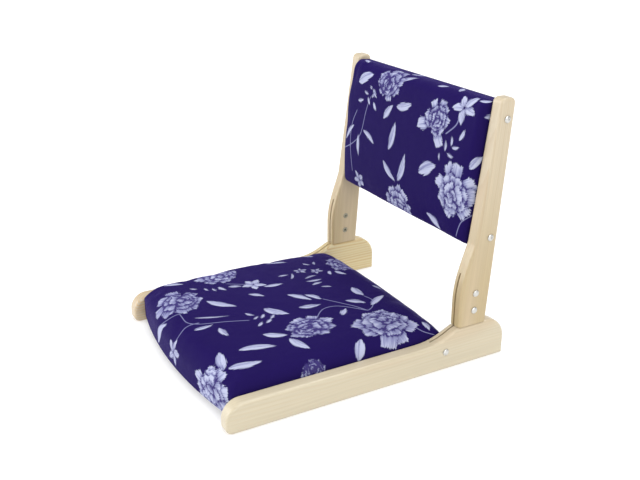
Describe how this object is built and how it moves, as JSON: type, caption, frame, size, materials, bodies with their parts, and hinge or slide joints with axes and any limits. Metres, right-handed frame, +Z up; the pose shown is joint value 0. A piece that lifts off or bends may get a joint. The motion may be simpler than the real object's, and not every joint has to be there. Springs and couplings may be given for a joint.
{
  "type": "folding floor chair",
  "caption": "Legless floor chair: pine side rails, padded printed-cloth seat, and a padded back on pine uprights that folds forward over the seat.",
  "frame": {"origin": "centre of the chair's footprint on the floor", "axes": "+Z up, +Y to the rear, +X to the sitter's left"},
  "size_m": [0.4258, 0.497, 0.4278],
  "materials": {
    "pine": "clear satin lacquer on pale pine",
    "dowel_wood": "bare turned beech",
    "plywood": "bare sanded plywood",
    "zinc_steel": "bright zinc plated",
    "plate_steel": "plain zinc plated strip",
    "printed_cloth": "dark violet-blue woven cloth printed with pale flowers and leaves",
    "foam": "open cell upholstery foam"
  },
  "bodies": {
    "seat_frame": {"left_rail": "pine", "right_rail": "pine", "left_pivot_bolt": "zinc_steel", "right_pivot_bolt": "zinc_steel", "left_pivot_sleeve": "zinc_steel", "right_pivot_sleeve": "zinc_steel", "left_front_dowel_1": "dowel_wood", "left_front_dowel_2": "dowel_wood", "left_rear_dowel_1": "dowel_wood", "left_rear_dowel_2": "dowel_wood", "right_front_dowel_1": "dowel_wood", "right_front_dowel_2": "dowel_wood", "right_rear_dowel_1": "dowel_wood", "right_rear_dowel_2": "dowel_wood", "front_batten": "pine", "rear_batten": "pine", "seat_board": "plywood", "seat_screw_1": "zinc_steel", "seat_screw_2": "zinc_steel", "seat_screw_3": "zinc_steel", "seat_screw_4": "zinc_steel", "seat_screw_5": "zinc_steel", "seat_screw_6": "zinc_steel", "seat_foam": "foam", "seat_cover": "printed_cloth"},
    "back": {"left_upright": "pine", "right_upright": "pine", "left_hinge_plate": "plate_steel", "right_hinge_plate": "plate_steel", "left_lower_plate_bolt": "zinc_steel", "left_upper_plate_bolt": "zinc_steel", "right_lower_plate_bolt": "zinc_steel", "right_upper_plate_bolt": "zinc_steel", "left_lower_plate_sleeve": "zinc_steel", "left_upper_plate_sleeve": "zinc_steel", "right_lower_plate_sleeve": "zinc_steel", "right_upper_plate_sleeve": "zinc_steel", "left_lower_back_bolt": "zinc_steel", "left_upper_back_bolt": "zinc_steel", "right_lower_back_bolt": "zinc_steel", "right_upper_back_bolt": "zinc_steel", "left_lower_insert": "zinc_steel", "left_upper_insert": "zinc_steel", "right_lower_insert": "zinc_steel", "right_upper_insert": "zinc_steel", "back_board": "plywood", "back_foam": "foam", "back_cover": "printed_cloth", "back_rear_panel": "printed_cloth"}
  },
  "joints": [
    {"name": "back_fold", "type": "hinge", "parent": "seat_frame", "child": "back", "pos_m": [0, 0.1315, 0.032], "axis": [1, 0, 0], "range_deg": [0, 88]}
  ]
}
